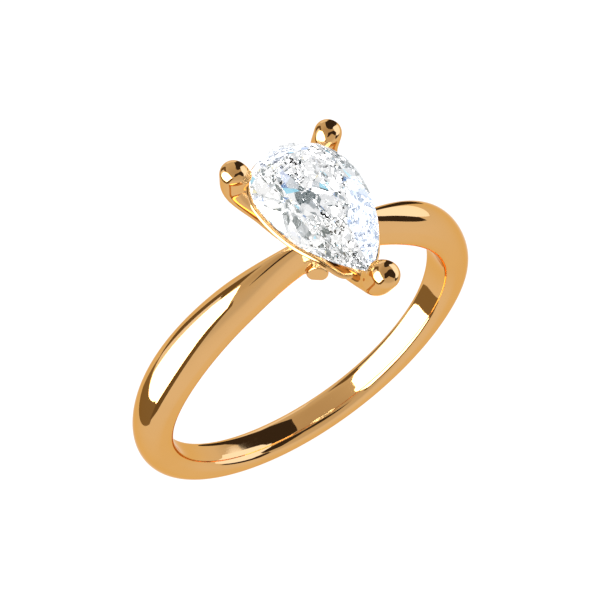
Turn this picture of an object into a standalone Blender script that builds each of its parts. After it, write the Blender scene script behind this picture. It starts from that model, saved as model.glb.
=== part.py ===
"""Pear solitaire engagement ring: band, crossed head base, three claws, gallery rail and stone.

The origin is the centre of the finger bore. +Y runs along the finger, towards the round end of the
stone, +Z points up to the stone and +X is the wearer's right.
"""
from math import asin, atan2, cos, pi, radians, sin, sqrt, tan

import bmesh
import bpy
from mathutils import Vector

MM = 0.001
JOINT_GAP = 0.03 * MM            # solder seam between two soldered pieces
SEAT_GAP = 0.03 * MM             # play between the stone and the claws that hold it
MERGE_DISTANCE = 1e-8

# Band
BORE_RADIUS = 8.65 * MM          # US size 7
BAND_END = radians(10.5)         # the band's ends, to each side of the head
BAND_STATIONS = (0, 35, 65, 110, 180)          # degrees from the head
BAND_WIDTH = (1.0, 2.15, 2.5, 2.0, 1.95)       # mm, widest line of the section
BAND_FLAT = (0.65, 1.35, 1.6, 1.1, 0.8)        # mm, flat that touches the finger
BAND_THICKNESS = (2.3, 2.12, 1.88, 1.8, 1.65)  # mm, from the bore to the crown
BAND_EDGE = (42, 24, 4, 0, 0)                  # degrees, how sharp the crown's edge is
BAND_SIDE_LOW = 0.3              # share of the thickness where the side's flat starts
BAND_SIDE_HIGH = 0.52            # share of the thickness where it ends
BAND_STEPS = 84
ROUND_STEPS = 3
CROWN_STEPS = 6

# Stone
STONE_LENGTH = 8.5 * MM
STONE_WIDTH = 5.6 * MM
STONE_TIP_REACH = 3.4 * MM       # from the band's middle plane to the stone's point
CULET_CLEARANCE = 0.46 * MM      # from the top of the bore to the stone's lowest point
GIRDLE_THICKNESS = 0.12 * MM
CROWN_HEIGHT = 0.85 * MM
PAVILION_DEPTH = 2.28 * MM
TABLE_SHARE = 0.56
OUTLINE_STEPS = 40
MAIN_FACETS = 8
CROWN_HALF_LEAN = radians(4)     # how much steeper the small facets at the girdle are
HALF_FACET_LEAN = radians(2)

# Head
WIRE_RADIUS = 0.6 * MM
BEAD_RADIUS = 0.71 * MM
BAR_RADIUS = 0.56 * MM
BASE_HEIGHT = 0.32 * MM          # axis of the crossed bars above the top of the bore
BASE_FRONT = Vector((1.22, -1.05)) * MM        # axis of a bar at its front end, x mirrored
BASE_BACK_SHARE = 0.17           # its back end: share of the stone's width to the side,
BASE_BACK_SHORT = 0.4 * MM       # and how far it stops short of the round end's centre
BRIDGE_WIDTH = 0.94 * MM
BRIDGE_HEIGHT = 0.9 * MM
BRIDGE_ROOT = MM                 # how far the uncut bridge reaches below the top of the bore
BORE_CUTTER_LENGTH = 12 * MM     # along the finger, past both sides of the head base
CLAW_OFFSET = 0.82 * MM          # claw bead's axis outside the stone's outline
CLAW_ANGLE = radians(39.5)       # of the two back claws, from +X around the round end
CLAW_LIFT = 0.01 * MM            # centre of a back bead above the girdle
KNEE_OFFSET = 0.56 * MM          # bend of a back claw's wire outside the outline
KNEE_DROP = 1.05 * MM            # and below the girdle
NECK_LENGTH = 0.3 * MM           # straight start of a back claw, past the bar's end
FOOT = Vector((1.35, 0.62)) * MM  # its next bend: past the bar's end, and above it
LIP_RADIUS = 0.45 * MM           # the bead's lip, which reaches over the stone's edge
LIP_REACH = 0.45 * MM            # from the bead's axis towards the stone
LIP_LIFT = 0.2 * MM
TIP_BEAD = Vector((0.9, 0.72)) * MM    # bends of the point claw: beyond the stone's point,
TIP_KNEE = Vector((0.5, -0.25)) * MM   # and above the girdle
TIP_ARM = Vector((-0.3, -0.95)) * MM
TIP_ROOT = Vector((0.65, 0.55)) * MM   # beyond the bridge's face, and above the bars' axis
TIP_START = Vector((-0.1, 0.3)) * MM
WIRE_SIDES = 16
BEAD_RINGS = 10
PATH_STEPS = 5                   # points to a span of a claw's wire

# Gallery rail
RAIL_RADIUS = 0.14 * MM
RAIL_INSET = 0.0                 # inside the stone's outline
RAIL_CLEARANCE = 0.03 * MM       # between the rail and the stone's underside
RAIL_TIP_DROP = 0.5 * MM         # more, in the loop under the point
RAIL_TIP_INSET = 0.7 * MM        # how far the loop stops short of the stone's point
RAIL_LOOP = 1.15 * MM            # length of that loop along the finger
RAIL_KNOTS = 20
RAIL_STEPS = 3                   # points to a span of the rail's wire

GIRDLE_Z = BORE_RADIUS + CULET_CLEARANCE + PAVILION_DEPTH + GIRDLE_THICKNESS / 2
BASE_Z = BORE_RADIUS + BASE_HEIGHT
ROUND_CENTRE_Y = STONE_LENGTH - STONE_WIDTH / 2 - STONE_TIP_REACH
BASE_BACK = Vector((BASE_BACK_SHARE * STONE_WIDTH, ROUND_CENTRE_Y - BASE_BACK_SHORT))
CULET = Vector((0, ROUND_CENTRE_Y, GIRDLE_Z - GIRDLE_THICKNESS / 2 - PAVILION_DEPTH))
SIDE_ARC = ((STONE_LENGTH - STONE_WIDTH / 2) ** 2 + (STONE_WIDTH / 2) ** 2) / STONE_WIDTH
PAVILION_SLOPE = atan2(PAVILION_DEPTH, STONE_WIDTH / 2) + HALF_FACET_LEAN
SCALLOP = SIDE_ARC * (1 / cos(pi / (2 * MAIN_FACETS)) - 1)
RAIL_DROP = (GIRDLE_THICKNESS / 2 + (RAIL_INSET + SCALLOP) * tan(PAVILION_SLOPE)
             + (RAIL_RADIUS + RAIL_CLEARANCE) / cos(PAVILION_SLOPE))

GOLD = ((0.83, 0.52, 0.27, 1), 0.12, 1.0)
DIAMOND = ((0.93, 0.95, 0.98, 1), 0.02, 0.0)
CREASE_ANGLE = radians(30)       # sharper edges than this are shaded as edges: on metal,
FACET_ANGLE = radians(1)         # and on the stone


def clear_scene():
    for item in list(bpy.data.objects):
        bpy.data.objects.remove(item, do_unlink=True)


def make_collection(name):
    collection = bpy.data.collections.new(name)
    bpy.context.scene.collection.children.link(collection)
    return collection


def make_material(name, look):
    colour, roughness, metallic = look
    material = bpy.data.materials.new(name)
    material.use_nodes = True
    shader = material.node_tree.nodes["Principled BSDF"]
    shader.inputs["Base Color"].default_value = colour
    shader.inputs["Roughness"].default_value = roughness
    shader.inputs["Metallic"].default_value = metallic
    return material


def add_object(name, mesh, collection):
    item = bpy.data.objects.new(name, mesh)
    collection.objects.link(item)
    return item


def move_to(item, collection):
    for owner in item.users_collection:
        owner.objects.unlink(item)
    collection.objects.link(item)


def add_bmesh(name, shape, collection):
    bmesh.ops.recalc_face_normals(shape, faces=shape.faces)
    mesh = bpy.data.meshes.new(name)
    shape.to_mesh(mesh)
    shape.free()
    return add_object(name, mesh, collection)


def finish_piece(item, look, sharp_angle):
    item.data.materials.clear()
    item.data.materials.append(make_material(item.name, look))
    item.data.shade_smooth()
    item.data.set_sharp_from_angle(angle=sharp_angle)


def combine(item, tool, operation):
    """Apply a Boolean with the object tool, which stays as a hidden guide."""
    modifier = item.modifiers.new(operation.title(), "BOOLEAN")
    modifier.operation = operation
    modifier.solver = "EXACT"
    modifier.object = tool
    tool.hide_render = True
    tool.display_type = "WIRE"


def bake(item):
    """Replace the object's mesh by its evaluated mesh, so that it can be a cutter or a copy."""
    graph = bpy.context.evaluated_depsgraph_get()
    mesh = bpy.data.meshes.new_from_object(item.evaluated_get(graph))
    item.modifiers.clear()
    item.data = mesh


def stations(values, degrees):
    """Read a value of the band at an angle, on a smooth curve through its stations."""
    knots = BAND_STATIONS
    index = max(i for i in range(len(knots) - 1) if degrees >= knots[i] or i == 0)
    low, high = knots[index], knots[index + 1]
    before = -knots[1] if index == 0 else knots[index - 1]
    before_value = values[1] if index == 0 else values[index - 1]
    last = index + 2 >= len(knots)
    after = 2 * high - low if last else knots[index + 2]
    after_value = values[index] if last else values[index + 2]
    slope_low = (values[index + 1] - before_value) / (high - before)
    slope_high = (after_value - values[index]) / (after - low)
    span = high - low
    u = (degrees - low) / span
    return ((2 * u**3 - 3 * u**2 + 1) * values[index] + (u**3 - 2 * u**2 + u) * span * slope_low
            + (3 * u**2 - 2 * u**3) * values[index + 1] + (u**3 - u**2) * span * slope_high)


def band_section(degrees):
    """Half section of the band as (across, above the bore), from the inner flat to the crown."""
    width = stations(BAND_WIDTH, degrees) * MM / 2
    flat = stations(BAND_FLAT, degrees) * MM / 2
    thickness = stations(BAND_THICKNESS, degrees) * MM
    edge = radians(max(0.0, stations(BAND_EDGE, degrees)))
    low, high = BAND_SIDE_LOW * thickness, BAND_SIDE_HIGH * thickness
    points = []
    for i in range(ROUND_STEPS + 1):
        turn = pi / 2 * i / ROUND_STEPS
        points.append((flat + (width - flat) * sin(turn), low * (1 - cos(turn))))
    for i in range(CROWN_STEPS + 1):
        turn = edge + (pi / 2 - edge) * i / CROWN_STEPS
        rise = (sin(turn) - sin(edge)) / (1 - sin(edge))
        points.append((width * cos(turn) / cos(edge), high + (thickness - high) * rise))
    return points


def band_ring(shape, angle, half):
    """Add one section of the band, turned by angle from the head, to the mesh."""
    mirrored = [(-across, above) for across, above in reversed(half[:-1])]
    return [shape.verts.new(((BORE_RADIUS + above) * sin(angle), across,
                             (BORE_RADIUS + above) * cos(angle)))
            for across, above in half + mirrored]


def loft(shape, rings):
    for ring, following in zip(rings, rings[1:]):
        for i in range(len(ring)):
            k = (i + 1) % len(ring)
            shape.faces.new((ring[i], ring[k], following[k], following[i]))
    shape.faces.new(rings[0])
    shape.faces.new(list(reversed(rings[-1])))


def make_band(collection):
    shape = bmesh.new()
    rings = []
    for i in range(BAND_STEPS + 1):
        angle = BAND_END + (2 * pi - 2 * BAND_END) * i / BAND_STEPS
        from_head = angle if angle <= pi else 2 * pi - angle
        rings.append(band_ring(shape, angle, band_section(from_head * 180 / pi)))
    loft(shape, rings)
    return add_bmesh("shank", shape, collection)


def pear_outline(grow, steps):
    """Points of the stone's outline grown by a margin, anticlockwise from the +X side."""
    width = STONE_WIDTH + 2 * grow
    arc = SIDE_ARC + grow
    reach = sqrt(arc**2 - (arc - width / 2) ** 2)
    sweep = asin(reach / arc)
    points = []
    for i in range(steps // 2):
        turn = pi * 2 * i / steps
        points.append(Vector((width / 2 * cos(turn), ROUND_CENTRE_Y + width / 2 * sin(turn), 0)))
    side = steps // 4
    for i in range(side):
        turn = sweep * i / side
        points.append(Vector((arc - width / 2 - arc * cos(turn), ROUND_CENTRE_Y - arc * sin(turn), 0)))
    for i in range(side):
        turn = sweep * (side - i) / side
        points.append(Vector((arc * cos(turn) - arc + width / 2, ROUND_CENTRE_Y - arc * sin(turn), 0)))
    return points


def prism(outline, bottom, top):
    shape = bmesh.new()
    loft(shape, [[shape.verts.new((point.x, point.y, z)) for point in outline] for z in (top, bottom)])
    bmesh.ops.recalc_face_normals(shape, faces=shape.faces)
    return shape


def cut_facet(shape, point, normal):
    """Grind a flat facet: remove all that lies beyond a plane and close the cut."""
    geometry = shape.verts[:] + shape.edges[:] + shape.faces[:]
    cut = bmesh.ops.bisect_plane(shape, geom=geometry, plane_co=point, plane_no=normal,
                                 dist=MERGE_DISTANCE, clear_outer=True)
    edges = [part for part in cut["geom_cut"] if isinstance(part, bmesh.types.BMEdge)]
    if edges:
        bmesh.ops.contextual_create(shape, geom=edges)


def support(outline, direction):
    return max(outline, key=lambda point: point.dot(direction))


def facet_plane(outline, turn, level, inner, grow_angle):
    """A facet through the outline at a level, aimed at an inner point, steeper by grow_angle."""
    direction = Vector((cos(turn), sin(turn), 0))
    rim = support(outline, direction)
    run = (rim - Vector((inner.x, inner.y, 0))).dot(direction)
    rise = inner.z - level
    slope = atan2(abs(rise), run) + grow_angle
    normal = direction * sin(slope) + Vector((0, 0, cos(slope) * (1 if rise > 0 else -1)))
    return Vector((rim.x, rim.y, level)), normal


def make_stone(name, collection, grow=0.0):
    """A pear brilliant ground from a pear-shaped blank; grow makes a larger one, as a cutter."""
    outline = pear_outline(grow, OUTLINE_STEPS)
    rim_top = GIRDLE_Z + GIRDLE_THICKNESS / 2 + grow
    rim_bottom = GIRDLE_Z - GIRDLE_THICKNESS / 2 - grow
    culet = Vector((0, CULET.y, CULET.z - grow))
    apex = Vector((0, CULET.y, rim_top + CROWN_HEIGHT / (1 - TABLE_SHARE)))
    shape = prism(outline, culet.z - MM, rim_top + CROWN_HEIGHT)
    for i in range(MAIN_FACETS):
        turn = 2 * pi * (i + 0.5) / MAIN_FACETS
        cut_facet(shape, *facet_plane(outline, turn, rim_top, apex, 0))
        cut_facet(shape, *facet_plane(outline, turn, rim_bottom, culet, 0))
    for i in range(2 * MAIN_FACETS):
        turn = 2 * pi * (i + 0.5) / (2 * MAIN_FACETS)
        cut_facet(shape, *facet_plane(outline, turn, rim_top, apex, CROWN_HALF_LEAN))
        cut_facet(shape, *facet_plane(outline, turn, rim_bottom, culet, HALF_FACET_LEAN))
    return add_bmesh(name, shape, collection)


def make_tube(name, points, radius, collection, cyclic=False):
    """A round wire along points, as a closed mesh that Booleans can use."""
    curve = bpy.data.curves.new(name, "CURVE")
    curve.dimensions = "3D"
    curve.bevel_depth = radius
    curve.bevel_resolution = (WIRE_SIDES - 4) // 2
    curve.use_fill_caps = True
    spline = curve.splines.new("POLY")
    spline.points.add(len(points) - 1)
    for target, point in zip(spline.points, points):
        target.co = (*point, 1)
    spline.use_cyclic_u = cyclic
    wire = add_object(name + "_curve", curve, collection)
    bpy.context.view_layer.update()
    mesh = bpy.data.meshes.new_from_object(wire.evaluated_get(bpy.context.evaluated_depsgraph_get()))
    tube = add_object(name, mesh, collection)
    tube.matrix_world = wire.matrix_world
    bpy.data.objects.remove(wire, do_unlink=True)
    shape = bmesh.new()
    shape.from_mesh(mesh)
    bmesh.ops.remove_doubles(shape, verts=shape.verts, dist=MERGE_DISTANCE)
    shape.to_mesh(mesh)
    shape.free()
    return tube


def smooth_path(points, steps):
    """Points along a smooth curve through the given ones, steps to a span."""
    path = [points[0]]
    padded = [2 * points[0] - points[1], *points, 2 * points[-1] - points[-2]]
    for before, start, end, after in zip(padded, padded[1:], padded[2:], padded[3:]):
        for i in range(1, steps + 1):
            u = i / steps
            path.append(0.5 * (2 * start + (end - before) * u
                               + (2 * before - 5 * start + 4 * end - after) * u**2
                               + (3 * start - before - 3 * end + after) * u**3))
    return path


def bar_ends(side, grow=0.0):
    front = Vector((-side * BASE_FRONT.x, BASE_FRONT.y, BASE_Z))
    back = Vector((side * BASE_BACK.x, BASE_BACK.y, BASE_Z))
    extra = (back - front).normalized() * grow
    return front - extra, back + extra


def make_base(name, collection, guides, grow=0.0):
    """Two crossed round bars under the stone and the bridge that the band's ends meet."""
    bars = [make_tube(f"{name}_bar_{side}", bar_ends(side, grow), BAR_RADIUS + grow, guides)
            for side in (-1, 1)]
    reach = (BORE_RADIUS + BRIDGE_HEIGHT) * sin(BAND_END) - JOINT_GAP + grow
    shape = bmesh.new()
    bmesh.ops.create_cube(shape, size=1)
    height = BRIDGE_HEIGHT + BRIDGE_ROOT + grow
    bmesh.ops.scale(shape, vec=(2 * reach, BRIDGE_WIDTH + 2 * grow, height), verts=shape.verts)
    bmesh.ops.translate(shape, vec=(0, 0, BORE_RADIUS - BRIDGE_ROOT + height / 2), verts=shape.verts)
    for side in (-1, 1):
        end = BAND_END * side
        plane = Vector((cos(end), 0, -sin(end))) * side
        cut_facet(shape, plane * (grow - JOINT_GAP), plane)
    base = add_bmesh(name, shape, collection)
    for bar in bars:
        combine(base, bar, "UNION")
    bpy.ops.mesh.primitive_cylinder_add(vertices=BAND_STEPS, radius=BORE_RADIUS,
                                        depth=BORE_CUTTER_LENGTH, rotation=(pi / 2, 0, 0))
    bore = bpy.context.active_object
    bore.name = f"{name}_bore_cutter"
    move_to(bore, guides)
    combine(base, bore, "DIFFERENCE")
    bpy.context.view_layer.update()
    bake(base)
    return base


def make_claw(name, path, collection, guides, cutters):
    """A claw of round wire that ends in a rounded bead, notched for the stone and the rail."""
    claw = make_tube(name, path, WIRE_RADIUS, collection)
    inward = Vector((-path[-1].x, ROUND_CENTRE_Y - path[-1].y, 0)).normalized()
    lip = path[-1] + inward * LIP_REACH + Vector((0, 0, LIP_LIFT))
    for place, radius in ((path[-1], BEAD_RADIUS), (lip, LIP_RADIUS)):
        bpy.ops.mesh.primitive_uv_sphere_add(segments=WIRE_SIDES, ring_count=BEAD_RINGS, radius=radius,
                                             location=place)
        bead = bpy.context.active_object
        bead.name = f"{name}_bead"
        move_to(bead, guides)
        combine(claw, bead, "UNION")
    for cutter in cutters:
        combine(claw, cutter, "DIFFERENCE")
    return claw


def back_claw_path(side):
    front, back = bar_ends(side)
    along = (back - front).normalized()
    outward = Vector((side * cos(CLAW_ANGLE), sin(CLAW_ANGLE), 0))
    centre = Vector((0, ROUND_CENTRE_Y, 0))
    bead = centre + outward * (STONE_WIDTH / 2 + CLAW_OFFSET) + Vector((0, 0, GIRDLE_Z + CLAW_LIFT))
    knee = centre + outward * (STONE_WIDTH / 2 + KNEE_OFFSET) + Vector((0, 0, GIRDLE_Z - KNEE_DROP))
    start = back + along * JOINT_GAP
    neck = back + along * NECK_LENGTH
    foot = back + along * FOOT.x + Vector((0, 0, FOOT.y))
    return [start, *smooth_path([neck, foot, knee, bead], PATH_STEPS)]


def tip_claw_path():
    """The point claw's wire, in the plane of the finger, from the bridge to its bead."""
    def bend(beyond, level, offset):
        return Vector((0, -beyond - offset.x, level + offset.y))

    return smooth_path([bend(BRIDGE_WIDTH / 2, BASE_Z, TIP_START),
                        bend(BRIDGE_WIDTH / 2, BASE_Z, TIP_ROOT),
                        bend(STONE_TIP_REACH, GIRDLE_Z, TIP_ARM),
                        bend(STONE_TIP_REACH, GIRDLE_Z, TIP_KNEE),
                        bend(STONE_TIP_REACH, GIRDLE_Z, TIP_BEAD)], PATH_STEPS)


def rail_path():
    """The rail follows the stone's outline and dips in a rounded loop under its point."""
    loop_end = RAIL_TIP_INSET - STONE_TIP_REACH
    knots = []
    for point in pear_outline(-RAIL_INSET, 4 * RAIL_KNOTS)[::4]:
        y = max(point.y, loop_end)
        into_loop = max(0.0, 1 - (y - loop_end) / RAIL_LOOP)
        dip = into_loop**2 * (3 - 2 * into_loop)
        knots.append(Vector((point.x, y, GIRDLE_Z - RAIL_DROP - RAIL_TIP_DROP * dip)))
    path = smooth_path([knots[-1], *knots, knots[0], knots[1]], RAIL_STEPS)
    return path[RAIL_STEPS:-RAIL_STEPS - 1]


def build():
    clear_scene()
    ring = make_collection("engagement_ring")
    guides = make_collection("cutters")
    stone_cutter = make_stone("stone_cutter", guides, SEAT_GAP)
    rail_cutter = make_tube("rail_cutter", rail_path(), RAIL_RADIUS + JOINT_GAP, guides, cyclic=True)
    base_cutter = make_base("base_cutter", guides, guides, JOINT_GAP)

    pieces = [make_band(ring), make_base("head_base", ring, guides)]
    for cutter in (stone_cutter, rail_cutter):
        for piece in pieces:
            combine(piece, cutter, "DIFFERENCE")
    for name, side in (("claw_left", -1), ("claw_right", 1)):
        pieces.append(make_claw(name, back_claw_path(side), ring, guides, (stone_cutter, rail_cutter)))
    pieces.append(make_claw("claw_point", tip_claw_path(), ring, guides,
                            (stone_cutter, rail_cutter, base_cutter)))
    pieces.append(make_tube("gallery_rail", rail_path(), RAIL_RADIUS, ring, cyclic=True))
    for piece in pieces:
        finish_piece(piece, GOLD, CREASE_ANGLE)
    finish_piece(make_stone("diamond", ring), DIAMOND, FACET_ANGLE)


build()
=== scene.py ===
"""Looks of the pear solitaire engagement ring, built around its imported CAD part.

Lengths are in metres, in the CAD part's frame: the origin is the centre of the finger bore, +Y runs
along the finger towards the round end of the stone, and +Z points up to the stone.
"""
from math import asin, atan2, cos, exp, pi, radians, sin, sqrt, tan

import bmesh
import bpy
from mathutils import Matrix, Vector


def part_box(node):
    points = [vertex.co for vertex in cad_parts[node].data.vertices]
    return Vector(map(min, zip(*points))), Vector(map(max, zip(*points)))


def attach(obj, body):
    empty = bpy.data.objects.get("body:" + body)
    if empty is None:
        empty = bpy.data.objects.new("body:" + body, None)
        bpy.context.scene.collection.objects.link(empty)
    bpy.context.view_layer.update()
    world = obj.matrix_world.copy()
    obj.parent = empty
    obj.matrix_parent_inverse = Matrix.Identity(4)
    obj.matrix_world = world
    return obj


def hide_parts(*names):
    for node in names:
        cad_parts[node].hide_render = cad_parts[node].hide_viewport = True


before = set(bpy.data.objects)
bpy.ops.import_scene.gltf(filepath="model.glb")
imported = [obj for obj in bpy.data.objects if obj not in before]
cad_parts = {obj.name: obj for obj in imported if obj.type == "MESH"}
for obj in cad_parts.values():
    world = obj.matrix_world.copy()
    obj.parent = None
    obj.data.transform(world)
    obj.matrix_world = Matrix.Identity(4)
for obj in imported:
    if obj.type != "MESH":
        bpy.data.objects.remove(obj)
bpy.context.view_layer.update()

MM = 0.001
SEAM = 0.02 * MM                 # overlap that closes a solder joint
MERGE_DISTANCE = 0.0005 * MM     # points of the stone closer than this become one
CUT_TOLERANCE = 1e-9

# Band, with widths and thicknesses in mm at stations in degrees from the middle of the head
BORE_RADIUS = 8.65 * MM
BAND_END = radians(10.5)         # the band stops this far from the middle of the head
BAND_STATIONS = (0, 35, 65, 110, 180)
BAND_WIDTH = (1.0, 2.15, 2.5, 2.0, 1.95)
BAND_FLAT = (0.65, 1.35, 1.6, 1.1, 0.8)     # of the flat that lies on the finger
BAND_THICKNESS = (2.3, 2.12, 1.88, 1.8, 1.65)
BAND_EDGE = (42, 24, 4, 0, 0)    # degrees of the crown's arc that are left out at each side
BAND_SIDE_LOW = 0.3              # a side is upright between these shares of the thickness
BAND_SIDE_HIGH = 0.52
BAND_STEPS = 320
BAND_CREASE = radians(50)
ROUND_STEPS = 8
CROWN_STEPS = 14
EDGE_BEVEL = 0.05 * MM           # polished edge between the side and the crown
EDGE_STEPS = 4

# Stone
STONE_LENGTH = 8.5 * MM
STONE_WIDTH = 5.6 * MM
STONE_TIP_REACH = 3.4 * MM       # from the middle of the band to the stone's point
CULET_CLEARANCE = 0.46 * MM      # between the bore and the stone's lowest point
GIRDLE_THICKNESS = 0.12 * MM
CROWN_HEIGHT = 0.85 * MM
PAVILION_DEPTH = 2.28 * MM
OUTLINE_STEPS = 96
# Facet tiers: number, turn as a share of the spacing, and two points (share of the way from the
# middle to the rim, share of the height) that the facet's slope runs through
CROWN_TIERS = ((8, 0.5, (1, 0), (0.6, 1)),
               (16, 0.5, (1, 0), (0.68, 1)),
               (16, 0.0, (0.84, 0.47), (0.66, 0.83)),
               (8, 0.0, (0.56, 1), (0.8, 0.62)))
PAVILION_TIERS = ((8, 0.0, (1, 0), (0, 1)),
                  (16, 0.5, (1, 0), (0.1, 1)),
                  (24, 0.5, (0.86, 0.18), (0.06, 1)),
                  (16, 0.0, (0.62, 0.44), (0, 1.02)),
                  (12, 0.5, (0.4, 0.66), (0, 0.97)))

# Head
WIRE_RADIUS = 0.6 * MM
BEAD_RADIUS = 0.71 * MM
BEAD_ROUNDING = 2.6              # power of the bead's outline: 2 is a ball, more is squarer
BAR_RADIUS = 0.56 * MM
BASE_HEIGHT = 0.32 * MM          # of the bars' axes over the bore
BASE_FRONT = Vector((1.22, -1.05)) * MM
BASE_BACK = Vector((0.95, 1.9)) * MM
BASE_BEVEL = 0.07 * MM           # on the cut ends of the crossed bars
BRIDGE_WIDTH = 0.94 * MM
BRIDGE_HEIGHT = 0.9 * MM
BORE_CUTTER_LENGTH = 12 * MM
CLAW_OFFSET = 0.82 * MM          # of a bead's centre from the stone's round end
CLAW_ANGLE = radians(39.5)       # of a back claw from the stone's widest line
CLAW_LIFT = 0.01 * MM
KNEE_OFFSET = 0.56 * MM
KNEE_DROP = 1.05 * MM
NECK_LENGTH = 0.3 * MM
CLAW_START = 0.3 * MM            # a back claw starts this far inside its bar
FOOT = Vector((1.35, 0.62)) * MM
LIP_REACH = 0.19 * MM            # a bead bulges this far towards the stone,
LIP_LIFT = 0.12 * MM             # most at this height above the wire's end,
LIP_HEIGHT = 0.45 * MM           # and fades over this
PATH_SOFTENING = 14
# Bends of the point claw as (outward, up): from the stone's point, then from the bridge
TIP_BEAD = Vector((0.9, 0.72)) * MM
TIP_KNEE = Vector((0.5, -0.25)) * MM
TIP_ARM = Vector((-0.3, -0.95)) * MM
TIP_ROOT = Vector((0.65, 0.55)) * MM
TIP_START = Vector((-0.1, 0.3)) * MM
WIRE_SIDES = 64
WIRE_STEPS = 16
BEAD_STEPS = 28
CAST_VOXEL = 0.035 * MM
CAST_SMOOTHING = 20
SMOOTHING_FACTOR = 0.5
NOTCH_GAP = 0.005 * MM           # between a claw's notch and the stone
CREASE = radians(35)

# Gallery rail
RAIL_RADIUS = 0.14 * MM
RAIL_INSET = 0.0
RAIL_CLEARANCE = 0.03 * MM
RAIL_TIP_DROP = 0.5 * MM         # of the loop below the rest of the rail
RAIL_TIP_INSET = 0.7 * MM        # of the loop's end from the stone's point
RAIL_LOOP = 1.15 * MM            # length over which the rail dips
RAIL_KNOTS = 20
RAIL_STEPS = 8
RAIL_SIDES = 20
RIM_FACETS = 16                  # they cut the stone's rim a little inside its outline
SLOPE_MARGIN = radians(2)        # the pavilion's rim is a little steeper than its mean slope

GIRDLE_Z = BORE_RADIUS + CULET_CLEARANCE + PAVILION_DEPTH + GIRDLE_THICKNESS / 2
BASE_Z = BORE_RADIUS + BASE_HEIGHT
ROUND_CENTRE_Y = STONE_LENGTH - STONE_WIDTH / 2 - STONE_TIP_REACH
STONE_CENTRE = Vector((0, ROUND_CENTRE_Y, 0))
SIDE_ARC = ((STONE_LENGTH - STONE_WIDTH / 2) ** 2 + (STONE_WIDTH / 2) ** 2) / STONE_WIDTH
PAVILION_SLOPE = atan2(PAVILION_DEPTH, STONE_WIDTH / 2) + SLOPE_MARGIN
SCALLOP = SIDE_ARC * (1 / cos(pi / RIM_FACETS) - 1)
RAIL_DROP = (GIRDLE_THICKNESS / 2 + (RAIL_INSET + SCALLOP) * tan(PAVILION_SLOPE)
             + (RAIL_RADIUS + RAIL_CLEARANCE) / cos(PAVILION_SLOPE))

# Camera
CAMERA_AZIMUTH = radians(-44.04)
CAMERA_ELEVATION = radians(56.36)
CAMERA_ROLL = radians(12.61)
CAMERA_DISTANCE = 97.66 * MM
CAMERA_LENS = 108.8
CAMERA_SENSOR = 36
CAMERA_SHIFT = (-0.0066, 0.08)
CAMERA_CLIP = (MM, 1.0)

# Gold
GOLD_TONES = ((0.7, 0.4, 0.155, 1), (0.74, 0.43, 0.175, 1))
GOLD_GRAZING = (0.9, 0.67, 0.41, 1)     # its colour where the light grazes it
GOLD_CLOUDS = 450.0
GOLD_ROUGHNESS = (0.02, 0.06)
WORN_EDGES = (0.54, 0.62)        # pointiness from which an edge is worn, and at which it is most
WORN_ROUGHNESS = 0.08
LINE_SCALE = 5000.0
LINE_STRETCH = (1.0, 6.0, 1.0)
LINE_ROUGHNESS = 0.7
LINE_STRENGTH = 0.05
LINE_DEPTH = 0.002 * MM

# Diamond
DIAMOND_TONES = ((1, 1, 1, 1), (0.97, 0.985, 1, 1))
DIAMOND_CLOUDS = 600.0
DIAMOND_IOR = 2.42

# Floor
FLOOR_GLOW = 0.95
FLOOR_GREY = (0.1, 0.1, 0.1, 1)
FLOOR_RADIUS = 80 * MM
FLOOR_SIDES = 64

# Room that the metal reflects: (share of the way from straight down to straight up, colour)
WORLD_TOP = 1.2
WORLD_STOPS = ((0.0, (0.86, 0.86, 0.86)), (0.35, (0.84, 0.84, 0.84)), (0.5, (0.8, 0.8, 0.8)),
               (0.6, (0.65, 0.65, 0.65)), (0.85, (0.65, 0.62, 0.55)), (1.0, (0.5, 0.45, 0.37)))
# Room of many small lights and gaps that the stone refracts: (from this share of them on, colour)
SPARKLE_SCALE = 22.0
SPARKLE_TOP = 1.08
SPARKLE_STOPS = ((0.0, (1.0, 1.0, 1.0)), (0.26, (0.5, 0.53, 0.55)), (0.44, (0.12, 0.16, 0.17)),
                 (0.7, (1.0, 1.0, 1.0)), (0.84, (0.35, 0.8, 1.0)), (0.865, (1.0, 0.9, 0.5)),
                 (0.88, (0.15, 0.3, 0.6)), (0.9, (0.7, 0.73, 0.76)))
LIGHT_BOUNCES = 20               # enough for the reflections inside the stone

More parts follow.
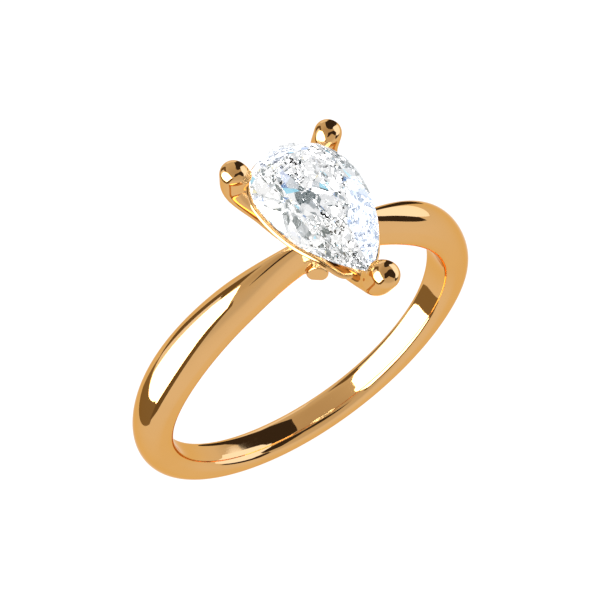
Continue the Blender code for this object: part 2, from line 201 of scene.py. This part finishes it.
# Softboxes and flags: name, distance in metres, light, and corners as (azimuth, elevation) in
# degrees, seen from the ring
WHITE = (8.0, 8.0, 8.0)
CREAM = (1.5, 1.8, 2.5)
PALE = (1.2, 1.3, 1.6)
BROWN = (0.3, 0.24, 0.14)
DARK_BROWN = (0.2, 0.15, 0.08)
BLACK = (0.05, 0.04, 0.035)
FAR, MIDDLE, NEAR = 0.66, 0.63, 0.6
PANELS = (
    ("key", NEAR, WHITE, ((-120, 50), (-80, 50), (-60, 42), (-48, 34), (-60, 14), (-66, -3),
                          (-78, -29), (-112, -30), (-134, -24), (-135, 24))),
    ("key_border", MIDDLE, DARK_BROWN, ((-49, 40), (-36, 30), (-52, -8), (-64, -36), (-82, -46),
                                        (-80, -26), (-66, 0))),
    ("key_foot", MIDDLE, BROWN, ((-152, -22), (-74, -26), (-76, -47), (-100, -50), (-150, -40))),
    ("key_wing", MIDDLE, PALE, ((-151, 22), (-130, 30), (-130, -26), (-151, -24))),
    ("left_flag", MIDDLE, DARK_BROWN, ((-170, 30), (-150, 40), (-138, 42), (-134, 30), (-150, 22),
                                       (-150, -26), (-168, -24))),
    ("top_flag", FAR, BLACK, ((-38, 46), (-20, 48), (-2, 62), (22, 60), (29, 46), (33, 28),
                              (44, 24), (58, 33), (70, 44), (78, 58), (44, 74), (0, 78),
                              (-26, 76), (-32, 62))),
    ("right_box", NEAR, CREAM, ((45, 10), (46, 24), (58, 32), (72, 49), (112, 50), (117, 40),
                                (112, 4), (76, -4), (60, 1))),
    ("right_flag", MIDDLE, BLACK, ((32, 8), (40, 22), (48, 12), (62, 2), (62, -7), (34, -6))),
    ("backdrop", MIDDLE, BLACK, ((104, 52), (110, 66), (130, 70), (152, 60), (150, 24), (144, 20),
                                 (136, -30), (122, -20), (115, 20))),
    ("back_box", MIDDLE, PALE, ((146, 18), (172, 18), (172, -8), (150, -12), (140, -8))),
)
# These don't show through the stone
METAL_ONLY = ("key_border", "key_foot", "left_flag", "top_flag", "right_box", "right_flag",
              "backdrop", "back_box")


# Meshes

def add_object(name, mesh):
    item = bpy.data.objects.new(name, mesh)
    bpy.context.scene.collection.objects.link(item)
    return item


def add_bmesh(name, shape):
    bmesh.ops.recalc_face_normals(shape, faces=shape.faces)
    mesh = bpy.data.meshes.new(name)
    shape.to_mesh(mesh)
    shape.free()
    return add_object(name, mesh)


def apply_modifiers(item):
    bpy.context.view_layer.update()
    graph = bpy.context.evaluated_depsgraph_get()
    mesh = bpy.data.meshes.new_from_object(item.evaluated_get(graph))
    item.modifiers.clear()
    item.data = mesh


def stations(values, degrees):
    """Read a value of the band at an angle, on a smooth curve through its stations."""
    knots = BAND_STATIONS
    index = max(i for i in range(len(knots) - 1) if degrees >= knots[i] or i == 0)
    low, high = knots[index], knots[index + 1]
    before = -knots[1] if index == 0 else knots[index - 1]
    before_value = values[1] if index == 0 else values[index - 1]
    last = index + 2 >= len(knots)
    after = 2 * high - low if last else knots[index + 2]
    after_value = values[index] if last else values[index + 2]
    slope_low = (values[index + 1] - before_value) / (high - before)
    slope_high = (after_value - values[index]) / (after - low)
    span = high - low
    u = (degrees - low) / span
    return ((2 * u**3 - 3 * u**2 + 1) * values[index] + (u**3 - 2 * u**2 + u) * span * slope_low
            + (3 * u**2 - 2 * u**3) * values[index + 1] + (u**3 - u**2) * span * slope_high)


def band_section(degrees):
    """Half section of the band as (across, above the bore), from its flat to its crown."""
    width = stations(BAND_WIDTH, degrees) * MM / 2
    flat = stations(BAND_FLAT, degrees) * MM / 2
    thickness = stations(BAND_THICKNESS, degrees) * MM
    edge = radians(max(0.0, stations(BAND_EDGE, degrees)))
    low, high = BAND_SIDE_LOW * thickness, BAND_SIDE_HIGH * thickness

    def crown(turn):
        rise = (sin(turn) - sin(edge)) / (1 - sin(edge))
        return Vector((width * cos(turn) / cos(edge), high + (thickness - high) * rise))

    points = [Vector((0, 0)), Vector((flat * 0.5, 0))]
    for i in range(ROUND_STEPS + 1):
        turn = pi / 2 * i / ROUND_STEPS
        points.append(Vector((flat + (width - flat) * sin(turn), low * (1 - cos(turn)))))
    points.append(Vector((width, (low + high) / 2)))
    corner = Vector((width, high))
    below = corner - Vector((0, EDGE_BEVEL))
    past = edge + EDGE_BEVEL / (width / cos(edge) + thickness - high) * 2
    above = crown(past)
    for i in range(EDGE_STEPS + 1):
        u = i / EDGE_STEPS
        points.append(below * (1 - u) ** 2 + corner * 2 * u * (1 - u) + above * u**2)
    for i in range(1, CROWN_STEPS + 1):
        points.append(crown(past + (pi / 2 - past) * i / CROWN_STEPS))
    return points


def band_ring(shape, angle, half):
    """A whole section of the band at an angle from the head."""
    mirrored = [Vector((-point.x, point.y)) for point in reversed(half[1:-1])]
    return [shape.verts.new(((BORE_RADIUS + point.y) * sin(angle), point.x,
                             (BORE_RADIUS + point.y) * cos(angle)))
            for point in half + mirrored]


def loft(shape, rings, closed=False):
    """Skin a row of rings, with caps unless the row is closed."""
    if closed:
        rings = rings + rings[:1]
    for ring, following in zip(rings, rings[1:]):
        for i in range(len(ring)):
            k = (i + 1) % len(ring)
            shape.faces.new((ring[i], ring[k], following[k], following[i]))
    if not closed:
        shape.faces.new(rings[0])
        shape.faces.new(list(reversed(rings[-1])))


def make_band():
    shape = bmesh.new()
    rings = []
    end = BAND_END - SEAM / BORE_RADIUS
    for i in range(BAND_STEPS + 1):
        angle = end + (2 * pi - 2 * end) * i / BAND_STEPS
        from_head = angle if angle <= pi else 2 * pi - angle
        rings.append(band_ring(shape, angle, band_section(from_head * 180 / pi)))
    loft(shape, rings)
    band = add_bmesh("band", shape)
    band.data.shade_smooth()
    band.data.set_sharp_from_angle(angle=BAND_CREASE)
    return band


def smooth_path(points, steps, closed=False):
    """Points along a smooth curve through the given ones, steps to a span."""
    if closed:
        padded = [points[-1], *points, points[0], points[1]]
        path = []
    else:
        padded = [2 * points[0] - points[1], *points, 2 * points[-1] - points[-2]]
        path = [points[0]]
    for before, start, end, after in zip(padded, padded[1:], padded[2:], padded[3:]):
        for i in range(1, steps + 1):
            u = i / steps
            path.append(0.5 * (2 * start + (end - before) * u
                               + (2 * before - 5 * start + 4 * end - after) * u**2
                               + (3 * start - before - 3 * end + after) * u**3))
    return path


def directions(path, closed):
    """The direction of a path at each of its points."""
    count = len(path)
    found = []
    for i in range(count):
        if closed or 0 < i < count - 1:
            ahead = path[(i + 1) % count] - path[i - 1]
        elif i == 0:
            ahead = path[1] - path[0]
        else:
            ahead = path[-1] - path[-2]
        found.append(ahead.normalized())
    return found


def lined_up(ring, before):
    """A ring turned so that it starts nearest to where the ring before it starts."""
    near = min(range(len(ring)), key=lambda k: (before[0].co - ring[k].co).length)
    return ring[near:] + ring[:near]


def add_wire(shape, path, radii, sides, closed=False):
    """A round wire along a path, with its own radius at each point."""
    forward = directions(path, closed)
    across = forward[0].orthogonal().normalized()
    rings = []
    for place, ahead, radius in zip(path, forward, radii):
        across = (across - ahead * across.dot(ahead)).normalized()
        third = ahead.cross(across)
        rings.append([shape.verts.new(place + (across * cos(2 * pi * k / sides)
                                               + third * sin(2 * pi * k / sides)) * radius)
                      for k in range(sides)])
    if closed:
        for i in range(len(rings)):
            rings[i] = lined_up(rings[i], rings[i - 1])
    loft(shape, rings, closed)


def cast(name, shape):
    """Fuse overlapping closed parts into one skin with small soft fillets, like a casting."""
    item = add_bmesh(name, shape)
    remesh = item.modifiers.new("Fuse", "REMESH")
    remesh.mode = "VOXEL"
    remesh.voxel_size = CAST_VOXEL
    polish = item.modifiers.new("Polish", "SMOOTH")
    polish.factor = SMOOTHING_FACTOR
    polish.iterations = CAST_SMOOTHING
    apply_modifiers(item)
    item.data.shade_smooth()
    return item


def cut_away(item, cutter):
    """Notch a piece with another mesh, which is then deleted."""
    cut = item.modifiers.new("Notch", "BOOLEAN")
    cut.operation = "DIFFERENCE"
    cut.solver = "EXACT"
    cut.object = cutter
    apply_modifiers(item)
    bpy.data.objects.remove(cutter, do_unlink=True)
    item.data.shade_smooth()
    item.data.set_sharp_from_angle(angle=CREASE)


# The stone

def pear_outline(grow, steps):
    """Points of the stone's outline grown by a margin, anticlockwise from the +X side."""
    width = STONE_WIDTH + 2 * grow
    arc = SIDE_ARC + grow
    reach = sqrt(arc**2 - (arc - width / 2) ** 2)
    sweep = asin(reach / arc)
    points = []
    for i in range(steps // 2):
        turn = pi * 2 * i / steps
        points.append(Vector((width / 2 * cos(turn), ROUND_CENTRE_Y + width / 2 * sin(turn), 0)))
    side = steps // 4
    for i in range(side):
        turn = sweep * i / side
        x = arc - width / 2 - arc * cos(turn)
        points.append(Vector((x, ROUND_CENTRE_Y - arc * sin(turn), 0)))
    for i in range(side):
        turn = sweep * (side - i) / side
        x = arc * cos(turn) - arc + width / 2
        points.append(Vector((x, ROUND_CENTRE_Y - arc * sin(turn), 0)))
    return points


def grind(shape, point, normal):
    """Grind a flat facet: remove all that lies beyond a plane and close the cut."""
    geometry = shape.verts[:] + shape.edges[:] + shape.faces[:]
    cut = bmesh.ops.bisect_plane(shape, geom=geometry, plane_co=point, plane_no=normal,
                                 dist=CUT_TOLERANCE, clear_outer=True)
    edges = [part for part in cut["geom_cut"] if isinstance(part, bmesh.types.BMEdge)]
    if edges:
        bmesh.ops.contextual_create(shape, geom=edges)


def grind_tier(shape, outline, tier, rim_z, height):
    """Grind one tier of facets; height is the crown's height, or minus the pavilion's depth."""
    count, phase, first, second = tier
    for i in range(count):
        turn = 2 * pi * (i + phase) / count - pi / 2
        direction = Vector((cos(turn), sin(turn), 0))
        reach = max((point - STONE_CENTRE).dot(direction) for point in outline)
        run = abs(first[0] - second[0]) * reach
        rise = (second[1] - first[1]) * height
        normal = (direction * abs(rise) + Vector((0, 0, run if height > 0 else -run))).normalized()
        lift = Vector((0, 0, rim_z + height * first[1]))
        grind(shape, STONE_CENTRE + direction * reach * first[0] + lift, normal)


def make_stone(name, grow=0.0):
    """The pear brilliant, or one grown by a margin to cut the claws' notches."""
    outline = pear_outline(grow, OUTLINE_STEPS)
    rim_top = GIRDLE_Z + GIRDLE_THICKNESS / 2 + grow
    rim_bottom = GIRDLE_Z - GIRDLE_THICKNESS / 2 - grow
    shape = bmesh.new()
    levels = (rim_top + CROWN_HEIGHT, rim_bottom - PAVILION_DEPTH - MM)
    loft(shape, [[shape.verts.new((point.x, point.y, z)) for point in outline] for z in levels])
    bmesh.ops.recalc_face_normals(shape, faces=shape.faces)
    for tier in CROWN_TIERS:
        grind_tier(shape, outline, tier, rim_top, CROWN_HEIGHT)
    for tier in PAVILION_TIERS:
        grind_tier(shape, outline, tier, rim_bottom, -PAVILION_DEPTH)
    bmesh.ops.remove_doubles(shape, verts=shape.verts, dist=MERGE_DISTANCE)
    return add_bmesh(name, shape)


# Head

def bar_ends(side):
    """The front and back end of the crossed bar whose back end is on the given side."""
    front = Vector((-side * BASE_FRONT.x, BASE_FRONT.y, BASE_Z))
    back = Vector((side * BASE_BACK.x, BASE_BACK.y, BASE_Z))
    return front, back


def make_base():
    """Two crossed round bars under the stone and the bridge that the band's ends meet."""
    shape = bmesh.new()
    for side in (-1, 1):
        front, back = bar_ends(side)
        along = (back - front).normalized() * BASE_BEVEL
        path = [front, front + along, (front + back) / 2, back - along, back]
        small = BAR_RADIUS - BASE_BEVEL
        add_wire(shape, path, (small, BAR_RADIUS, BAR_RADIUS, BAR_RADIUS, small), WIRE_SIDES)
    reach = (BORE_RADIUS + BRIDGE_HEIGHT) * sin(BAND_END)
    block = bmesh.new()
    bmesh.ops.create_cube(block, size=1)
    height = BRIDGE_HEIGHT + MM
    bmesh.ops.scale(block, vec=(2 * reach, BRIDGE_WIDTH, height), verts=block.verts)
    bmesh.ops.translate(block, vec=(0, 0, BORE_RADIUS - MM + height / 2), verts=block.verts)
    for side in (-1, 1):
        plane = Vector((cos(BAND_END) * side, 0, -sin(BAND_END)))
        grind(block, Vector((0, 0, 0)), plane)
    mesh = bpy.data.meshes.new("block")
    block.to_mesh(mesh)
    block.free()
    shape.from_mesh(mesh)
    base = cast("base", shape)
    bore = bmesh.new()
    bmesh.ops.create_cone(bore, cap_ends=True, segments=BAND_STEPS, radius1=BORE_RADIUS,
                          radius2=BORE_RADIUS, depth=BORE_CUTTER_LENGTH,
                          matrix=Matrix.Rotation(pi / 2, 4, "X"))
    cut_away(base, add_bmesh("bore", bore))
    return base


def back_claw_path(side):
    """A back claw's wire, from inside the end of its bar to its bead."""
    front, back = bar_ends(side)
    along = (back - front).normalized()
    outward = Vector((side * cos(CLAW_ANGLE), sin(CLAW_ANGLE), 0))

    def beside_stone(offset, z):
        return STONE_CENTRE + outward * (STONE_WIDTH / 2 + offset) + Vector((0, 0, z))

    return smooth_path([back - along * CLAW_START, back, back + along * NECK_LENGTH,
                        back + along * FOOT.x + Vector((0, 0, FOOT.y)),
                        beside_stone(KNEE_OFFSET, GIRDLE_Z - KNEE_DROP),
                        beside_stone(CLAW_OFFSET, GIRDLE_Z + CLAW_LIFT)], WIRE_STEPS)


def tip_claw_path():
    """The point claw's wire, in the plane of the finger, from the bridge to its bead."""
    def bend(beyond, level, offset):
        return Vector((0, -beyond - offset.x, level + offset.y))

    return smooth_path([bend(BRIDGE_WIDTH / 2, BASE_Z, TIP_START),
                        bend(BRIDGE_WIDTH / 2, BASE_Z, TIP_ROOT),
                        bend(STONE_TIP_REACH, GIRDLE_Z, TIP_ARM),
                        bend(STONE_TIP_REACH, GIRDLE_Z, TIP_KNEE),
                        bend(STONE_TIP_REACH, GIRDLE_Z, TIP_BEAD)], WIRE_STEPS)


def bead_profile():
    """A bead's rounded end as (height above the wire's end, radius), on a superellipse."""
    power = 2 / BEAD_ROUNDING
    profile = []
    for i in range(1, BEAD_STEPS):
        turn = pi / 2 * i / BEAD_STEPS
        profile.append((BEAD_RADIUS * sin(turn) ** power, BEAD_RADIUS * cos(turn) ** power))
    return profile


def soften(path):
    """Even out the curvature of a path whose points are close together."""
    for _ in range(PATH_SOFTENING):
        middle = [(before + 2 * point + after) / 4
                  for before, point, after in zip(path, path[1:], path[2:])]
        path = [path[0], *middle, path[-1]]
    return path


def make_claw(name, path):
    """A claw of round wire that ends in a rounded bead, which bulges over the stone's edge."""
    path = soften(path)
    radii = []
    two_spans = 2 * WIRE_STEPS      # the wire swells over the first two, and the bead two before it
    for i in range(len(path)):
        start = min(1.0, i / two_spans)
        grow = min(1.0, max(0.0, (i - len(path) + 1 + two_spans) / WIRE_STEPS))
        radii.append(BAR_RADIUS + (WIRE_RADIUS - BAR_RADIUS) * start
                     + (BEAD_RADIUS - WIRE_RADIUS) * grow * grow * (3 - 2 * grow))
    bead = path[-1]
    axis = (path[-1] - path[-2]).normalized()
    profile = bead_profile()
    shape = bmesh.new()
    add_wire(shape, path + [bead + axis * height for height, radius in profile],
             radii + [radius for height, radius in profile], WIRE_SIDES)
    inward = (STONE_CENTRE - Vector((bead.x, bead.y, 0))).normalized()
    for vertex in shape.verts:
        share = max(0.0, (vertex.co - bead).dot(inward) / BEAD_RADIUS)
        level = (vertex.co.z - bead.z - LIP_LIFT) / LIP_HEIGHT
        vertex.co += inward * LIP_REACH * share**2 * exp(-level**2)
    claw = add_bmesh(name, shape)
    cut_away(claw, make_stone("notch", NOTCH_GAP))
    return claw


def rail_path():
    """The rail follows the stone's outline and dips in a rounded loop under its point."""
    loop_end = RAIL_TIP_INSET - STONE_TIP_REACH
    knots = []
    for point in pear_outline(-RAIL_INSET, RAIL_KNOTS):
        y = max(point.y, loop_end)
        into_loop = max(0.0, 1 - (y - loop_end) / RAIL_LOOP)
        dip = into_loop**2 * (3 - 2 * into_loop)
        knots.append(Vector((point.x, y, GIRDLE_Z - RAIL_DROP - RAIL_TIP_DROP * dip)))
    return smooth_path(knots, RAIL_STEPS, closed=True)


def make_rail():
    shape = bmesh.new()
    path = rail_path()
    add_wire(shape, path, [RAIL_RADIUS] * len(path), RAIL_SIDES, closed=True)
    rail = add_bmesh("rail", shape)
    rail.data.shade_smooth()
    return rail


# Materials

def new_material(name):
    material = bpy.data.materials.new(name)
    material.use_nodes = True
    material.node_tree.nodes.clear()
    return material, material.node_tree


def node(tree, kind, inputs=(), **settings):
    """Add a shader node; its inputs are values or other nodes' sockets."""
    made = tree.nodes.new(kind)
    for key, value in settings.items():
        setattr(made, key, value)
    for key, value in dict(inputs).items():
        if isinstance(value, bpy.types.NodeSocket):
            tree.links.new(value, made.inputs[key])
        else:
            made.inputs[key].default_value = value
    return made


def cloudy(tree, place, scale, detail, tones):
    """A soft noise and the colour that it gives between two tones."""
    cloud = node(tree, "ShaderNodeTexNoise", {"Vector": place, "Scale": scale, "Detail": detail})
    colour = node(tree, "ShaderNodeMix", {"Factor": cloud.outputs["Fac"], "A": tones[0],
                                          "B": tones[1]}, data_type="RGBA")
    return cloud.outputs["Fac"], colour.outputs["Result"]


def gold_material():
    """Polished rose-yellow gold: cloudy tone, faint polishing lines, duller along worn edges."""
    material, tree = new_material("polished_gold")
    place = node(tree, "ShaderNodeTexCoord").outputs["Object"]
    cloud, colour = cloudy(tree, place, GOLD_CLOUDS, 4.0, GOLD_TONES)
    polish = node(tree, "ShaderNodeMapRange", {"Value": cloud, "To Min": GOLD_ROUGHNESS[0],
                                               "To Max": GOLD_ROUGHNESS[1]})
    edges = node(tree, "ShaderNodeNewGeometry").outputs["Pointiness"]
    worn = node(tree, "ShaderNodeMapRange", {"Value": edges, "From Min": WORN_EDGES[0],
                                             "From Max": WORN_EDGES[1], "To Max": WORN_ROUGHNESS})
    rough = node(tree, "ShaderNodeMath", {0: polish.outputs["Result"], 1: worn.outputs["Result"]},
                 operation="ADD")
    stretched = node(tree, "ShaderNodeMapping", {"Vector": place, "Scale": LINE_STRETCH})
    lines = node(tree, "ShaderNodeTexNoise", {"Vector": stretched.outputs[0], "Scale": LINE_SCALE,
                                              "Detail": 3.0, "Roughness": LINE_ROUGHNESS})
    bump = node(tree, "ShaderNodeBump", {"Height": lines.outputs["Fac"], "Strength": LINE_STRENGTH,
                                         "Distance": LINE_DEPTH})
    shader = node(tree, "ShaderNodeBsdfPrincipled",
                  {"Base Color": colour, "Roughness": rough.outputs[0], "Metallic": 1.0,
                   "Normal": bump.outputs[0], "Specular Tint": GOLD_GRAZING})
    node(tree, "ShaderNodeOutputMaterial", {"Surface": shader.outputs[0]})
    return material


def diamond_material():
    """Clear stone with a very faint cloudy tint."""
    material, tree = new_material("diamond")
    place = node(tree, "ShaderNodeTexCoord").outputs["Object"]
    colour = cloudy(tree, place, DIAMOND_CLOUDS, 2.0, DIAMOND_TONES)[1]
    shader = node(tree, "ShaderNodeBsdfPrincipled",
                  {"Base Color": colour, "Roughness": 0.0, "IOR": DIAMOND_IOR,
                   "Transmission Weight": 1.0})
    node(tree, "ShaderNodeOutputMaterial", {"Surface": shader.outputs[0]})
    return material


def floor_material():
    material, tree = new_material("pale_floor")
    glow = node(tree, "ShaderNodeEmission", {"Color": (1, 1, 1, 1), "Strength": FLOOR_GLOW})
    diffuse = node(tree, "ShaderNodeBsdfDiffuse", {"Color": FLOOR_GREY})
    both = node(tree, "ShaderNodeAddShader")
    tree.links.new(glow.outputs[0], both.inputs[0])
    tree.links.new(diffuse.outputs[0], both.inputs[1])
    node(tree, "ShaderNodeOutputMaterial", {"Surface": both.outputs[0]})
    return material


# Stage

def colour_ramp(tree, share, stops, interpolation="LINEAR"):
    ramp = node(tree, "ShaderNodeValToRGB", {"Fac": share})
    ramp.color_ramp.interpolation = interpolation
    elements = ramp.color_ramp.elements
    elements.remove(elements[1])
    elements[0].color = (*stops[0][1], 1)
    for position, colour in stops[1:]:
        elements.new(position).color = (*colour, 1)
    return ramp.outputs["Color"]


def switch(tree, share, first, second):
    """Show the first shader, or the second where the share is one."""
    mix = node(tree, "ShaderNodeMixShader", {"Fac": share})
    tree.links.new(first.outputs[0], mix.inputs[1])
    tree.links.new(second.outputs[0], mix.inputs[2])
    return mix


def make_world():
    """White to the camera, many small lights to the stone, and a pale room to the metal."""
    world = bpy.data.worlds.new("studio")
    bpy.context.scene.world = world
    world.use_nodes = True
    tree = world.node_tree
    tree.nodes.clear()
    direction = node(tree, "ShaderNodeTexCoord").outputs["Generated"]
    height = node(tree, "ShaderNodeSeparateXYZ", {"Vector": direction}).outputs["Z"]
    share = node(tree, "ShaderNodeMapRange", {"Value": height, "From Min": -1.0}).outputs["Result"]
    studio = node(tree, "ShaderNodeBackground", {"Color": colour_ramp(tree, share, WORLD_STOPS),
                                                 "Strength": WORLD_TOP})
    cells = node(tree, "ShaderNodeTexVoronoi", {"Vector": direction, "Scale": SPARKLE_SCALE})
    pick = node(tree, "ShaderNodeSeparateColor", {"Color": cells.outputs["Color"]}).outputs["Red"]
    sparkle = node(tree, "ShaderNodeBackground",
                   {"Color": colour_ramp(tree, pick, SPARKLE_STOPS, "CONSTANT"),
                    "Strength": SPARKLE_TOP})
    white = node(tree, "ShaderNodeBackground", {"Color": (1, 1, 1, 1), "Strength": 1.0})
    ray = node(tree, "ShaderNodeLightPath").outputs
    room = switch(tree, ray["Is Transmission Ray"], studio, sparkle)
    shown = switch(tree, ray["Is Camera Ray"], room, white)
    node(tree, "ShaderNodeOutputWorld", {"Surface": shown.outputs[0]})


def make_panel(name, distance, light, corners):
    """A softbox or a dark flag, given by the azimuth and elevation of its corners from the ring."""
    shape = bmesh.new()
    rim = []
    for azimuth, elevation in corners:
        a, e = radians(azimuth), radians(elevation)
        rim.append(Vector((sin(a) * cos(e), -cos(a) * cos(e), sin(e))) * distance)
    middle = sum(rim, Vector()) / len(rim)
    hub = shape.verts.new(middle.normalized() * distance)
    places = [shape.verts.new(point) for point in rim]
    for start, end in zip(places, places[1:] + places[:1]):
        shape.faces.new((hub, start, end))
    panel = add_bmesh(name, shape)
    material, tree = new_material(name)
    strength = max(light)
    glow = node(tree, "ShaderNodeEmission", {"Color": (*(part / strength for part in light), 1),
                                             "Strength": strength})
    node(tree, "ShaderNodeOutputMaterial", {"Surface": glow.outputs[0]})
    panel.data.materials.append(material)
    panel.visible_camera = False
    panel.visible_shadow = False
    panel.visible_transmission = name not in METAL_ONLY


def make_floor():
    shape = bmesh.new()
    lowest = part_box("shank")[0].z
    bmesh.ops.create_circle(shape, cap_ends=True, segments=FLOOR_SIDES, radius=FLOOR_RADIUS,
                            matrix=Matrix.Translation((0, 0, lowest)))
    floor = add_bmesh("floor", shape)
    floor.data.materials.append(floor_material())
    floor.visible_glossy = False


def make_camera():
    camera = bpy.data.objects.new("camera", bpy.data.cameras.new("camera"))
    bpy.context.scene.collection.objects.link(camera)
    bpy.context.scene.camera = camera
    back = Vector((sin(CAMERA_AZIMUTH) * cos(CAMERA_ELEVATION),
                   -cos(CAMERA_AZIMUTH) * cos(CAMERA_ELEVATION), sin(CAMERA_ELEVATION)))
    level = Vector((cos(CAMERA_AZIMUTH), sin(CAMERA_AZIMUTH), 0))
    up = back.cross(level)
    right = level * cos(CAMERA_ROLL) + up * sin(CAMERA_ROLL)
    up = up * cos(CAMERA_ROLL) - level * sin(CAMERA_ROLL)
    turn = Matrix((right, up, back)).transposed().to_4x4()
    camera.matrix_world = Matrix.Translation(back * CAMERA_DISTANCE) @ turn
    camera.data.lens = CAMERA_LENS
    camera.data.sensor_width = CAMERA_SENSOR
    camera.data.shift_x, camera.data.shift_y = CAMERA_SHIFT
    camera.data.clip_start, camera.data.clip_end = CAMERA_CLIP


def dress(piece, cad_node, slot, material):
    """Put a piece in its node's place.

    No gold shows through the stone, and the small pieces of the head don't mirror each other.
    """
    piece.data.materials.clear()
    piece.data.materials.append(material)
    piece.visible_transmission = slot == "stone"
    piece.visible_glossy = cad_node in ("shank", "diamond")
    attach(piece, "root")
    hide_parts(cad_node)


make_world()
for panel in PANELS:
    make_panel(*panel)
make_floor()
make_camera()
gold = gold_material()
dress(make_band(), "shank", "gold", gold)
dress(make_base(), "head_base", "gold", gold)
dress(make_claw("left_claw", back_claw_path(-1)), "claw_left", "gold", gold)
dress(make_claw("right_claw", back_claw_path(1)), "claw_right", "gold", gold)
dress(make_claw("point_claw", tip_claw_path()), "claw_point", "gold", gold)
dress(make_rail(), "gallery_rail", "gold", gold)
dress(make_stone("stone"), "diamond", "stone", diamond_material())

paths = bpy.context.scene.cycles
paths.max_bounces = paths.glossy_bounces = paths.transmission_bounces = LIGHT_BOUNCES
view = bpy.context.scene.view_settings
view.view_transform = "Standard"
view.look = "None"
